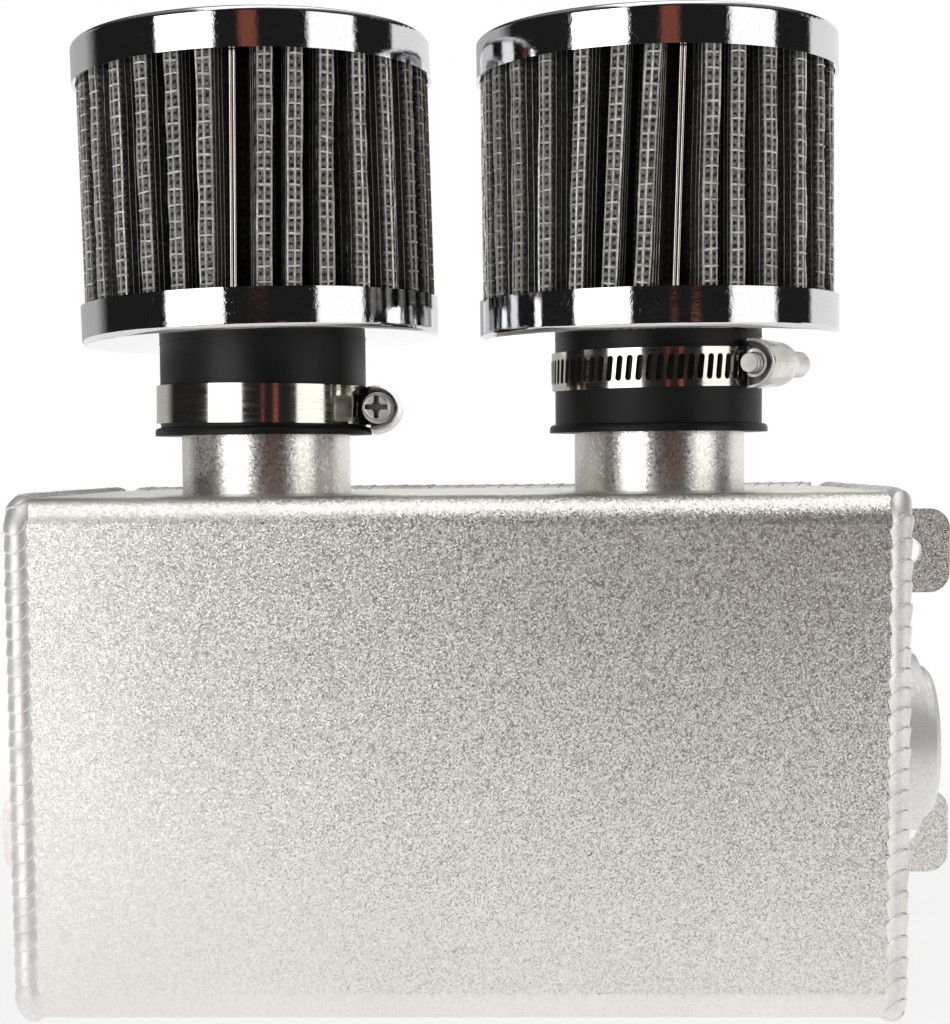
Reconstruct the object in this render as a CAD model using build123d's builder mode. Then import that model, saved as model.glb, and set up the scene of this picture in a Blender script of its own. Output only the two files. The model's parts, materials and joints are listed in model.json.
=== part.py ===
from build123d import *
from math import cos, degrees, radians, sin, sqrt
import os

os.makedirs("parts", exist_ok=True)

# Tank sheet metal
tank_width = 171.0
tank_depth = 100.0
tank_height = 102.0
wall = 3.0
end_plate_thickness = 3.0
corner_radius = 6.0

# Weld beads
end_bead_radius = 3.2
end_bead_proud = 1.0
rear_bead_radius = 2.6
rear_bead_proud = 1.0
tab_bead_leg = 1.8

# Mounting tabs on the rear face
tab_height = 20.0
tab_thickness = 3.0
tab_reach = 29.0
tab_overlap = 18.0
tab_corner_radius = 4.8
tab_hole_radius = 3.25
tab_hole_edge = 10.0
upper_tab_gap = 0.3
lower_tab_gap = 3.3
bead_clearance = 0.3

# Threaded port in the right end
port_radius = 19.0
port_step = 10.7
port_collar_radius = 16.2
port_collar_length = 3.1
port_collar_chamfer = 1.0
port_bore_radius = 10.5
port_spigot_radius = 14.0
port_height = 48.6
port_fit = 0.1

# Baffle plate inside the tank
baffle_thickness = 2.0
baffle_height = 74.0
baffle_clearance = 0.2
baffle_hole_radius = 5.0
baffle_hole_pitch = 20.0
baffle_columns = 7
baffle_rows = 4

# Neck tubes on the top
tube_spacing = 84.0
tube_radius = 18.0
tube_wall = 2.0
tube_show = 12.2
tube_engagement = 17.0
tube_tail = 2.0
tube_fit = 0.1

# Breather filters, with heights counted from the bottom of the rubber neck
filter_radius = 38.0
cup_wall = 0.8
cup_edge_radius = 1.2
cup_fit = 0.15
neck_radius = 21.9
neck_length = 19.9
neck_fit = 0.05
lip_radius = 23.1
lip_height = 1.7
lip_rounding = 0.9
flange_thickness = 3.0
base_height = 8.1
media_show = 46.1
cap_height = 8.2
pad_thickness = 3.0
filter_lean_right = {"left": -1.45, "right": -0.4}
filter_lean_back = {"left": 0.7, "right": -0.35}

# Pleated media and the clip that joins its ends
pleat_count = 30
pleat_depth = 9.0
pleat_clearance = 0.2
crest_half_width = 1.4
valley_half_width = 0.5
media_sheet = 0.9
clip_gap_angle = 18.5
clip_thickness = 1.3
clip_recess = 0.5
clip_clearance = 0.4
clip_angle = {"left": -89.75, "right": -86.75}

# Worm-drive clamps
band_width = 8.0
band_thickness = 0.65
band_clearance = 0.2
tail_start = 14.0
tail_end = 98.0
slot_length = 5.2
slot_width = 1.3
slot_slant = 6.5
slot_pitch = 2.05
slot_start = {"left": -27.0, "right": -46.0}
slot_count = {"left": 38, "right": 42}
clamp_height = {"left": 6.3, "right": 13.0}
clamp_lean_right = {"left": 0.65, "right": -0.75}
clamp_lean_back = {"left": 0.3, "right": -0.35}
clamp_turn = {"left": 1.0, "right": -35.5}
clamp_upright = {"left": 1, "right": -1}

# Clamp housing and screw, with lengths counted along the screw from the housing's radius
housing_drop = 0.6
housing_wall = 0.8
housing_tip = 3.4
housing_tip_half = 5.35
housing_tip_rise = 6.6
housing_back = 8.5
housing_back_half = 4.6
housing_back_rise = 5.9
arch_shoulder_half = 0.7
arch_shoulder_rise = 0.69
housing_recess = 1.1
housing_rounding = 0.35
collar_wall = 0.6
lip_clearance = 0.3
saddle_gap = 0.05
screw_offset = 2.3
screw_radius = 1.9
screw_tip = 5.6
screw_bore_clearance = 0.4
washer_radius = 3.3
washer_thickness = 1.0
screw_head_gap = 0.3
screw_head_radius = 2.75
screw_head_length = 6.4
screw_head_rounding = 0.6
cross_length = 4.7
cross_width = 1.05
cross_middle_radius = 1.1
cross_depth = 1.4

# Where the tank stands: on its end beads, with the whole part centred on the origin
tank_bottom = end_bead_proud
tank_top = tank_bottom + tank_height
tank_mid_height = tank_bottom + tank_height / 2
tank_front = end_bead_proud - (end_bead_proud + tank_depth + tab_thickness) / 2
tank_rear = tank_front + tank_depth
tank_middle = tank_front + tank_depth / 2
tank_end = tank_width / 2
shell_end = tank_end - end_plate_thickness
end_bead_inset = end_bead_radius - end_bead_proud
end_groove_leg = end_bead_inset + sqrt(end_bead_radius**2 - end_bead_inset**2)
rear_bead_inset = rear_bead_radius - rear_bead_proud
rear_bead_edge = rear_bead_inset + sqrt(rear_bead_radius**2 - rear_bead_inset**2)
neck_bottom = tank_top + tube_show
side_sign = {"left": -1, "right": 1}


def save(piece, name):
    piece.part.label = name
    export_step(piece.part, f"parts/{name}.step")


# Solid form of the closed tank, with a weld groove round each end
with BuildPart() as tank_form:
    with BuildSketch(Plane.YZ):
        with Locations((tank_middle, tank_mid_height)):
            RectangleRounded(tank_depth, tank_height, corner_radius)
    extrude(amount=tank_end, both=True)
    end_faces = tank_form.faces().filter_by(Axis.X)
    chamfer(end_faces.edges(), length=end_groove_leg)

# Front, top and bottom folded from one sheet
with BuildPart() as tank_shell:
    add(tank_form.part)
    with BuildSketch(Plane.YZ):
        with Locations((tank_middle - wall / 2, tank_mid_height)):
            Rectangle(tank_depth - wall, tank_height)
    extrude(amount=shell_end, both=True, mode=Mode.INTERSECT)
    with BuildSketch(Plane.YZ) as hollow:
        with Locations((tank_middle, tank_mid_height)):
            Rectangle(tank_depth - 2 * wall, tank_height - 2 * wall)
        fillet(hollow.vertices().group_by(Axis.X)[0], radius=corner_radius - wall)
    extrude(amount=shell_end, both=True, mode=Mode.SUBTRACT)
    with BuildSketch(Plane.XY.offset(tank_top)):
        with Locations((0, tank_middle)):
            with GridLocations(tube_spacing, 0, 2, 1):
                Circle(tube_radius + tube_fit)
    extrude(amount=-2 * wall, mode=Mode.SUBTRACT)
save(tank_shell, "tank_shell")

# Flat rear plate between the end plates
with BuildPart() as rear_plate:
    add(tank_form.part)
    with BuildSketch(Plane.YZ):
        with Locations((tank_rear - wall / 2, tank_mid_height)):
            Rectangle(wall, tank_height)
    extrude(amount=shell_end, both=True, mode=Mode.INTERSECT)
save(rear_plate, "rear_plate")

# End plates, the right one bored for the port's spigot
for side, sign in side_sign.items():
    with BuildPart() as end_plate:
        add(tank_form.part)
        with BuildSketch(Plane.YZ.offset(sign * shell_end)):
            with Locations((tank_middle, tank_mid_height)):
                Rectangle(tank_depth, tank_height)
        extrude(amount=sign * end_plate_thickness, mode=Mode.INTERSECT)
        if side == "right":
            with BuildSketch(Plane.YZ.offset(shell_end)):
                with Locations((tank_middle, port_height)):
                    Circle(port_spigot_radius + port_fit)
            extrude(amount=end_plate_thickness, mode=Mode.SUBTRACT)
    save(end_plate, f"{side}_end_plate")

# Beads that close the grooves round the end plates
for side, sign in side_sign.items():
    bead_start = Plane(
        origin=(sign * tank_end, tank_middle, tank_bottom),
        x_dir=(sign, 0, 0),
        z_dir=(0, sign, 0),
    )
    far_edge = tank_rear if sign > 0 else tank_front
    with BuildPart() as end_weld:
        with BuildLine(Plane.YZ.offset(sign * tank_end)) as half_round:
            FilletPolyline(
                (tank_middle, tank_bottom),
                (far_edge, tank_bottom),
                (far_edge, tank_top),
                (tank_middle, tank_top),
                radius=corner_radius,
            )
        with BuildSketch(bead_start):
            with Locations((-end_bead_inset, -end_bead_inset)):
                Circle(end_bead_radius)
            with BuildLine():
                Polyline(
                    (-end_groove_leg, 0),
                    (0, -end_groove_leg),
                    (0, -2 * end_groove_leg),
                    (-2 * end_groove_leg, -2 * end_groove_leg),
                    (-2 * end_groove_leg, 0),
                    close=True,
                )
            make_face(mode=Mode.SUBTRACT)
        sweep(path=half_round.wire())
        mirror(about=Plane(origin=(0, tank_middle, 0), z_dir=(0, 1, 0)))
    save(end_weld, f"{side}_end_weld")

# Beads along the rear plate's top and bottom edges
for place, edge, inward in (("top", tank_top, -1), ("bottom", tank_bottom, 1)):
    with BuildPart() as rear_weld:
        with BuildSketch(Plane.YZ):
            with Locations((tank_rear - rear_bead_inset, edge + inward * rear_bead_inset)):
                Circle(rear_bead_radius)
        extrude(amount=tank_end - end_groove_leg, both=True)
        add(tank_form.part, mode=Mode.SUBTRACT)
    save(rear_weld, f"rear_{place}_weld")

# Tabs that lie on the rear face, relieved where they cross the end beads
tab_inner = tank_end - tab_overlap
tab_outer = tank_end + tab_reach
relief_inner = tank_end - end_groove_leg - bead_clearance
relief_outer = tank_end + end_bead_proud + bead_clearance
tab_seam_room = rear_bead_edge + tab_bead_leg + tab_height / 2
tab_levels = {
    "upper": tank_top - upper_tab_gap - tab_seam_room,
    "lower": tank_bottom + lower_tab_gap + tab_seam_room,
}
with BuildPart() as tab_welds:
    for side, sign in side_sign.items():
        for level, height in tab_levels.items():
            seam_start = Plane(
                origin=(sign * relief_inner, tank_rear, height + tab_height / 2),
                x_dir=(0, 1, 0),
                z_dir=(-sign, 0, 0),
            )
            with BuildLine(Plane(origin=(0, tank_rear, height), x_dir=(1, 0, 0), z_dir=(0, -1, 0))) as seam:
                Polyline(
                    (sign * relief_inner, tab_height / 2),
                    (sign * tab_inner, tab_height / 2),
                    (sign * tab_inner, -tab_height / 2),
                    (sign * relief_inner, -tab_height / 2),
                )
            with BuildSketch(seam_start):
                with BuildLine():
                    Polyline((0, 0), (tab_bead_leg, 0), (0, -sign * tab_bead_leg), close=True)
                make_face()
            sweep(path=seam.wire(), transition=Transition.RIGHT)
save(tab_welds, "tab_welds")

for side, sign in side_sign.items():
    for level, height in tab_levels.items():
        rear_view = Plane(origin=(0, tank_rear, height), x_dir=(1, 0, 0), z_dir=(0, 1, 0))
        with BuildPart() as tab:
            with BuildSketch(rear_view) as outline:
                with Locations((sign * (tab_inner + tab_outer) / 2, 0)):
                    Rectangle(tab_outer - tab_inner, tab_height)
                outer_corners = outline.vertices().sort_by(Axis.X, reverse=sign > 0)[:2]
                fillet(outer_corners, radius=tab_corner_radius)
                with Locations((sign * (tab_outer - tab_hole_edge), 0)):
                    Circle(tab_hole_radius, mode=Mode.SUBTRACT)
            extrude(amount=tab_thickness)
            with BuildSketch(rear_view):
                with Locations((sign * (relief_inner + relief_outer) / 2, 0)):
                    Rectangle(relief_outer - relief_inner, tab_height)
            extrude(amount=end_bead_proud + bead_clearance, mode=Mode.SUBTRACT)
        save(tab, f"{level}_{side}_tab")

# Stepped weld bung with an open threaded bore
port_face = Plane(origin=(tank_end, tank_middle, port_height), x_dir=(0, 1, 0), z_dir=(1, 0, 0))
with BuildPart() as port_bung:
    with BuildSketch(port_face.offset(-end_plate_thickness)):
        Circle(port_spigot_radius)
    extrude(amount=end_plate_thickness)
    with BuildSketch(port_face):
        Circle(port_radius)
    extrude(amount=port_step)
    with BuildSketch(port_face.offset(port_step)):
        Circle(port_collar_radius)
    extrude(amount=port_collar_length)
    rim = port_bung.edges().filter_by(GeomType.CIRCLE).sort_by(Axis.X)[-1]
    chamfer(rim, length=port_collar_chamfer)
    with BuildSketch(port_face.offset(-end_plate_thickness)):
        Circle(port_bore_radius)
    extrude(amount=end_plate_thickness + port_step + port_collar_length, mode=Mode.SUBTRACT)
save(port_bung, "port_bung")

# Perforated plate across the inside, below the neck tubes
with BuildPart() as baffle_plate:
    with BuildSketch(Plane.XY.offset(baffle_height)):
        with Locations((0, tank_middle)):
            Rectangle(2 * (shell_end - baffle_clearance), tank_depth - 2 * (wall + baffle_clearance))
            with GridLocations(baffle_hole_pitch, baffle_hole_pitch, baffle_columns, baffle_rows):
                Circle(baffle_hole_radius, mode=Mode.SUBTRACT)
    extrude(amount=baffle_thickness)
save(baffle_plate, "baffle_plate")

# Tubes through the top sheet
tube_low = tank_top - wall - tube_tail
for side, sign in side_sign.items():
    with BuildPart() as neck_tube:
        with BuildSketch(Plane.XY.offset(tube_low)):
            with Locations((sign * tube_spacing / 2, tank_middle)):
                Circle(tube_radius)
                Circle(tube_radius - tube_wall, mode=Mode.SUBTRACT)
        extrude(amount=neck_bottom + tube_engagement - tube_low)
    save(neck_tube, f"{side}_neck_tube")

# Heights inside a filter, counted along its own axis
base_top = neck_length + base_height
cap_bottom = base_top + media_show
cap_top = cap_bottom + cap_height
flange_bottom = neck_length + cup_wall
media_bottom = flange_bottom + flange_thickness
media_top = cap_top - cup_wall - pad_thickness
cup_bore = filter_radius - cup_wall
crest_radius = cup_bore - pleat_clearance
valley_radius = crest_radius - pleat_depth
pleat_pitch = (360 - clip_gap_angle) / (pleat_count - 1)


def polar(radius, angle, across=0.0):
    turn = radians(angle)
    return (radius * cos(turn) - across * sin(turn), radius * sin(turn) + across * cos(turn))


def pleat_loop(start, outer, inner, crest, valley):
    for number in range(pleat_count):
        angle = start + number * pleat_pitch
        at_clip = number == pleat_count - 1
        step = clip_gap_angle if at_clip else pleat_pitch
        half = valley + clip_thickness if at_clip else valley
        fold = angle + step / 2
        crest_end = polar(outer - crest, angle, crest)
        valley_start = polar(inner + half, fold, -half)
        valley_end = polar(inner + half, fold, half)
        next_crest = polar(outer - crest, angle + step, -crest)
        ThreePointArc(polar(outer - crest, angle, -crest), polar(outer, angle), crest_end)
        Line(crest_end, valley_start)
        ThreePointArc(valley_start, polar(inner, fold), valley_end)
        Line(valley_end, next_crest)


def leaning_plane(middle, lean_right, lean_back):
    return Plane(Location(middle, (-lean_back, lean_right, 0)))


def filter_seat(side):
    middle = (side_sign[side] * tube_spacing / 2, tank_middle, neck_bottom)
    return leaning_plane(middle, filter_lean_right[side], filter_lean_back[side])


# The neck grips an upright tube, so it stands straight below the point where the filter leans away
def neck_seat(side):
    hinge = filter_seat(side).offset(neck_length).origin
    return Plane.XY.offset(neck_bottom).shift_origin((hinge.X, hinge.Y, neck_bottom))


def half_section(plane):
    return Plane(origin=plane.origin, x_dir=plane.x_dir, z_dir=plane.y_dir * -1)


for side in side_sign:
    seat = filter_seat(side)
    profile = half_section(seat)
    centre_line = Axis(seat.origin, seat.z_dir)

    # Moulded rubber neck, with the flange that the media stands in
    upright = neck_seat(side)
    with BuildPart() as filter_neck:
        with BuildSketch(half_section(upright)) as moulding:
            with BuildLine():
                Polyline(
                    (0, 0),
                    (lip_radius, 0),
                    (lip_radius, lip_height),
                    (neck_radius, lip_height),
                    (neck_radius, flange_bottom + flange_thickness / 2),
                    (0, flange_bottom + flange_thickness / 2),
                    close=True,
                )
            make_face()
            lip_corner = moulding.vertices().sort_by_distance((lip_radius, lip_height))[0]
            fillet(lip_corner, radius=lip_rounding)
        revolve(axis=Axis(upright.origin, upright.z_dir))
        with BuildSketch(seat.offset(flange_bottom)):
            Circle(cup_bore - cup_fit)
        extrude(amount=flange_thickness)
        with BuildSketch(Plane.XY.offset(neck_bottom - lip_height)):
            with Locations((seat.origin.X, seat.origin.Y)):
                Circle(tube_radius + neck_fit)
        extrude(amount=media_bottom + 2 * lip_height, mode=Mode.SUBTRACT)
    save(filter_neck, f"{side}_filter_neck")

    # Chromed base cup round the flange
    with BuildPart() as filter_base:
        with BuildSketch(profile) as cup:
            with BuildLine():
                Polyline(
                    (neck_radius + cup_fit, neck_length),
                    (filter_radius, neck_length),
                    (filter_radius, base_top),
                    (cup_bore, base_top),
                    (cup_bore, flange_bottom),
                    (neck_radius + cup_fit, flange_bottom),
                    close=True,
                )
            make_face()
            fillet(cup.vertices().sort_by_distance((filter_radius, neck_length))[0], radius=cup_edge_radius)
        revolve(axis=centre_line)
    save(filter_base, f"{side}_filter_base")

    # Chromed cap over the top of the media
    with BuildPart() as filter_cap:
        with BuildSketch(profile) as lid:
            with BuildLine():
                Polyline(
                    (0, cap_top),
                    (filter_radius, cap_top),
                    (filter_radius, cap_bottom),
                    (cup_bore, cap_bottom),
                    (cup_bore, cap_top - cup_wall),
                    (0, cap_top - cup_wall),
                    close=True,
                )
            make_face()
            fillet(lid.vertices().sort_by_distance((filter_radius, cap_top))[0], radius=cup_edge_radius)
        revolve(axis=centre_line)
    save(filter_cap, f"{side}_filter_cap")

    # Rubber pad that the media is set into under the cap
    with BuildPart() as cap_pad:
        with BuildSketch(seat.offset(media_top)):
            Circle(cup_bore - cup_fit)
        extrude(amount=pad_thickness)
    save(cap_pad, f"{side}_cap_pad")

    # One pleated sheet, wrapped round until its ends meet at the clip
    first_crest = clip_angle[side] + clip_gap_angle / 2
    with BuildPart() as filter_media:
        with BuildSketch(seat.offset(media_bottom)):
            with BuildLine():
                pleat_loop(first_crest, crest_radius, valley_radius, crest_half_width, valley_half_width)
            make_face()
            with BuildLine():
                pleat_loop(
                    first_crest,
                    crest_radius - media_sheet,
                    valley_radius - media_sheet,
                    crest_half_width - media_sheet,
                    valley_half_width + media_sheet,
                )
            make_face(mode=Mode.SUBTRACT)
        extrude(amount=media_top - media_bottom)
    save(filter_media, f"{side}_filter_media")

    # Folded metal clip between the first and the last pleat
    clip_low = valley_radius + clip_clearance
    clip_high = crest_radius - clip_recess
    with BuildPart() as seam_clip:
        with BuildSketch(seat.offset(media_bottom)):
            with PolarLocations((clip_low + clip_high) / 2, 1, start_angle=clip_angle[side]):
                Rectangle(clip_high - clip_low, clip_thickness)
        extrude(amount=media_top - media_bottom)
    save(seam_clip, f"{side}_seam_clip")

# Radii round a clamped neck, and stations along its screw
band_inner = neck_radius + band_clearance
band_outer = band_inner + band_thickness
tail_outer = band_outer + band_thickness
screw_circle = band_outer + screw_offset
housing_floor = lip_radius + lip_clearance
screw_bore = screw_radius + screw_bore_clearance
collar_radius = screw_bore + collar_wall
saddle_floor = band_outer + saddle_gap
saddle_tip = housing_tip - housing_recess
saddle_back = housing_back - housing_recess
slot_step = degrees(slot_pitch / band_outer)
washer_start = housing_back + screw_head_gap
head_start = washer_start + washer_thickness
head_end = head_start + screw_head_length


def arch(half, rise):
    crown = (housing_floor + rise, 0)
    shoulder_out = housing_floor + arch_shoulder_rise * rise
    shoulder_side = arch_shoulder_half * half
    Line((housing_floor, -half), (housing_floor, half))
    ThreePointArc((housing_floor, half), (shoulder_out, shoulder_side), crown)
    ThreePointArc(crown, (shoulder_out, -shoulder_side), (housing_floor, -half))


for side in side_sign:
    middle = neck_seat(side).offset(clamp_height[side]).origin
    level = leaning_plane(middle, clamp_lean_right[side], clamp_lean_back[side])
    along, beside = polar(1, clamp_turn[side])
    facing = level.x_dir * along + level.y_dir * beside
    ring = Plane(origin=middle, x_dir=facing, z_dir=level.z_dir * clamp_upright[side])
    housing_middle = ring.origin - ring.z_dir * housing_drop
    screw_start = housing_middle + ring.x_dir * screw_circle
    screw_line = Axis(screw_start, ring.y_dir)
    screw_profile = Plane(origin=screw_start, x_dir=ring.y_dir, z_dir=ring.z_dir)
    across_screw = Plane(origin=housing_middle, x_dir=ring.x_dir, z_dir=ring.y_dir)

    # Band with a slotted tail that overlaps it past the housing
    with BuildPart() as clamp_band:
        with BuildSketch(ring.offset(-band_width / 2)):
            Circle(band_outer)
            Circle(band_inner, mode=Mode.SUBTRACT)
        extrude(amount=band_width)
        with BuildSketch(ring.offset(-band_width / 2)):
            with BuildLine():
                CenterArc((0, 0), band_outer, tail_start, tail_end - tail_start)
                CenterArc((0, 0), tail_outer, tail_start, tail_end - tail_start)
                Line(polar(band_outer, tail_start), polar(tail_outer, tail_start))
                Line(polar(band_outer, tail_end), polar(tail_outer, tail_end))
            make_face()
        extrude(amount=band_width)
        slot_planes = []
        for number in range(slot_count[side]):
            along, beside = polar(1, slot_start[side] + number * slot_step)
            outward = ring.x_dir * along + ring.y_dir * beside
            tangent = ring.y_dir * along - ring.x_dir * beside
            slot_planes.append(Plane(ring.origin + outward * neck_radius, x_dir=tangent, z_dir=outward))
        with BuildSketch(*slot_planes):
            SlotOverall(slot_length, slot_width, rotation=90 - slot_slant)
        extrude(amount=tail_outer, mode=Mode.SUBTRACT)
    save(clamp_band, f"{side}_clamp_band")

    # Arched housing that carries the screw over the band, open at both ends
    with BuildPart() as clamp_housing:
        with BuildSketch(across_screw.offset(housing_tip)):
            with BuildLine():
                arch(housing_tip_half, housing_tip_rise)
            make_face()
        with BuildSketch(across_screw.offset(-housing_back)):
            with BuildLine():
                arch(housing_back_half, housing_back_rise)
            make_face()
        loft()
        end_faces = clamp_housing.faces().filter_by(GeomType.PLANE).sort_by(Axis(screw_start, ring.y_dir))
        end_rims = end_faces[0].edges() + end_faces[-1].edges()
        fillet(end_rims.filter_by(GeomType.CIRCLE), radius=housing_rounding)
        with BuildSketch(across_screw.offset(-saddle_back)):
            with Locations(((saddle_floor + screw_circle) / 2, -housing_drop)):
                Rectangle(screw_circle - saddle_floor, band_width)
        extrude(amount=saddle_back + saddle_tip)
        with BuildSketch(across_screw.offset(housing_tip)):
            with BuildLine():
                arch(housing_tip_half - housing_wall, housing_tip_rise - housing_wall)
            make_face()
            with Locations((screw_circle, 0)):
                Circle(collar_radius, mode=Mode.SUBTRACT)
        extrude(amount=-housing_recess, mode=Mode.SUBTRACT)
        with BuildSketch(across_screw.offset(-housing_back)):
            with BuildLine():
                arch(housing_back_half - housing_wall, housing_back_rise - housing_wall)
            make_face()
            with Locations((screw_circle, 0)):
                Circle(collar_radius, mode=Mode.SUBTRACT)
        extrude(amount=housing_recess, mode=Mode.SUBTRACT)
        with BuildSketch(across_screw.offset(-housing_back)):
            with Locations((screw_circle, 0)):
                Circle(screw_bore)
        extrude(amount=housing_back + housing_tip, mode=Mode.SUBTRACT)
    save(clamp_housing, f"{side}_clamp_housing")

    # Cross-head screw that turns in the housing
    with BuildPart() as clamp_screw:
        with BuildSketch(screw_profile) as turned:
            with BuildLine():
                Polyline(
                    (screw_tip, 0),
                    (screw_tip, screw_radius),
                    (-washer_start, screw_radius),
                    (-washer_start, washer_radius),
                    (-head_start, washer_radius),
                    (-head_start, screw_head_radius),
                    (-head_end, screw_head_radius),
                    (-head_end, 0),
                    close=True,
                )
            make_face()
            head_rim = turned.vertices().sort_by_distance((-head_end, screw_head_radius))[0]
            fillet(head_rim, radius=screw_head_rounding)
        revolve(axis=screw_line)
        with BuildSketch(across_screw.offset(-head_end)):
            with Locations((screw_circle, 0)):
                Rectangle(cross_length, cross_width)
                Rectangle(cross_width, cross_length)
                Circle(cross_middle_radius)
        extrude(amount=cross_depth, mode=Mode.SUBTRACT)
    save(clamp_screw, f"{side}_clamp_screw")
    print(side, "clamp screw starts at", screw_start, "and runs along", ring.y_dir)
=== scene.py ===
import json
import math

import bmesh
import bpy
from mathutils import Matrix, Vector, noise


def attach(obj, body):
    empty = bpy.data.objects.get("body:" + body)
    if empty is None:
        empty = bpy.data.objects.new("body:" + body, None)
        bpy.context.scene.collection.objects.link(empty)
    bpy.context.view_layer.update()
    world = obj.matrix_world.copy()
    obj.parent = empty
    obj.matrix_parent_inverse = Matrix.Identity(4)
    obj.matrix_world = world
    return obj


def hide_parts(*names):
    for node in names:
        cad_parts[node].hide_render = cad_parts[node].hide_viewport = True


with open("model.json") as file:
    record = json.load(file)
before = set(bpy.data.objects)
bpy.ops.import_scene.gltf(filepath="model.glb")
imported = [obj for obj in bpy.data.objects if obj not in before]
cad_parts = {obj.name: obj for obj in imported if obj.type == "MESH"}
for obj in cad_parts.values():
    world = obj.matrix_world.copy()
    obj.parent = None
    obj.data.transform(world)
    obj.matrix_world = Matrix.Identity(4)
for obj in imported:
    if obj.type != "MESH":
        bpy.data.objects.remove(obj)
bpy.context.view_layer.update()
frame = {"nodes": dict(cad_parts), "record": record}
cadNodes = frame["nodes"]
scene = bpy.context.scene
scene.view_settings.view_transform = "Standard"
mm = 0.001

photoCamera = {
    "place": (0.01428, -0.42573, 0.10939),
    "yaw": -1.592,
    "pitch": 3.788,
    "roll": -0.453,
    "focalPixels": 1979.2,
    "imageHeight": 1024,
    "axisBelowMiddle": 80.1,
}


def addCamera(s):
    yaw, pitch, roll = (math.radians(s[key]) for key in ("yaw", "pitch", "roll"))
    forward = Vector((math.sin(yaw) * math.cos(pitch), math.cos(yaw) * math.cos(pitch), -math.sin(pitch)))
    right = Vector((math.cos(yaw), -math.sin(yaw), 0.0))
    up = right.cross(forward)
    turned = Matrix((
        right * math.cos(roll) + up * math.sin(roll),
        up * math.cos(roll) - right * math.sin(roll),
        -forward,
    )).transposed()
    data = bpy.data.cameras.new("photoCamera")
    data.sensor_fit = "VERTICAL"
    data.lens = data.sensor_height * s["focalPixels"] / s["imageHeight"]
    data.shift_y = s["axisBelowMiddle"] / s["imageHeight"]
    data.clip_start = 0.01
    camera = bpy.data.objects.new("photoCamera", data)
    camera.matrix_world = Matrix.Translation(s["place"]) @ turned.to_4x4()
    scene.collection.objects.link(camera)
    scene.camera = camera


addCamera(photoCamera)
print("camera placed")


# a node with its settings and its inputs, which are values or other nodes' outputs
def addNode(tree, kind, inputs=None, **settings):
    node = tree.nodes.new(kind)
    for name, value in settings.items():
        setattr(node, name, value)
    for name, value in (inputs or {}).items():
        if isinstance(value, bpy.types.NodeSocket):
            tree.links.new(value, node.inputs[name])
        else:
            node.inputs[name].default_value = value
    return node


def work(tree, operation, first, second=0.0, third=0.0):
    return addNode(tree, "ShaderNodeMath", {0: first, 1: second, 2: third}, operation=operation).outputs[0]


def workVector(tree, operation, first, second=(0.0, 0.0, 0.0)):
    return addNode(tree, "ShaderNodeVectorMath", {0: first, 1: second}, operation=operation).outputs


def ease(tree, value, start, end, low=0.0, high=1.0):
    reach = {"Value": value, "From Min": start, "From Max": end, "To Min": low, "To Max": high}
    return addNode(tree, "ShaderNodeMapRange", reach, interpolation_type="SMOOTHSTEP").outputs[0]


# 1 between two angles in degrees, with soft edges
def between(tree, angle, low, high, soft):
    low, high, soft = (math.radians(a) for a in (low, high, soft))
    rising = ease(tree, angle, low - soft, low + soft)
    falling = ease(tree, angle, high - soft, high + soft, 1.0, 0.0)
    return work(tree, "MULTIPLY", rising, falling)


studio = {
    "rightBox": (42.4, 74.6),  # in degrees from the camera's side
    "boxRise": (-35, 21),
    "boxStrength": 1.4,
    "overhead": (48, 114),  # from the front horizon over the top
    "overheadSlant": 1.05,
    "overheadRise": (17, 25),
    "overheadStrength": 1.6,
    "overheadHalf": (0.30, 0.44),  # sideways part of a direction at which it fades
    "backdropFrom": (-113, 107),
    "backdropSoft": (10, 1.5),
    "backdropRise": (22, 30),
    "backdropStrength": (0.50, 0.92),
    "wallFrom": (160, 172),  # a brighter strip of backdrop straight behind
    "wallStrength": 1.4,
    "roomStrength": 0.015,
    "skyRise": (28, 62),
    "skyStrength": 0.26,
    "glows": (  # turn, rise and strength
        ((-0.5, 10.5), (8, 20), 0.55),
        ((4.7, 8.0), (-6, 3.2), 0.5),
        ((17.4, 22.4), (-6, 3.2), 0.8),
    ),
    "glowColour": (0.36, 0.095, 0.06, 1.0),
    "softEdge": 0.7,
}


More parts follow.
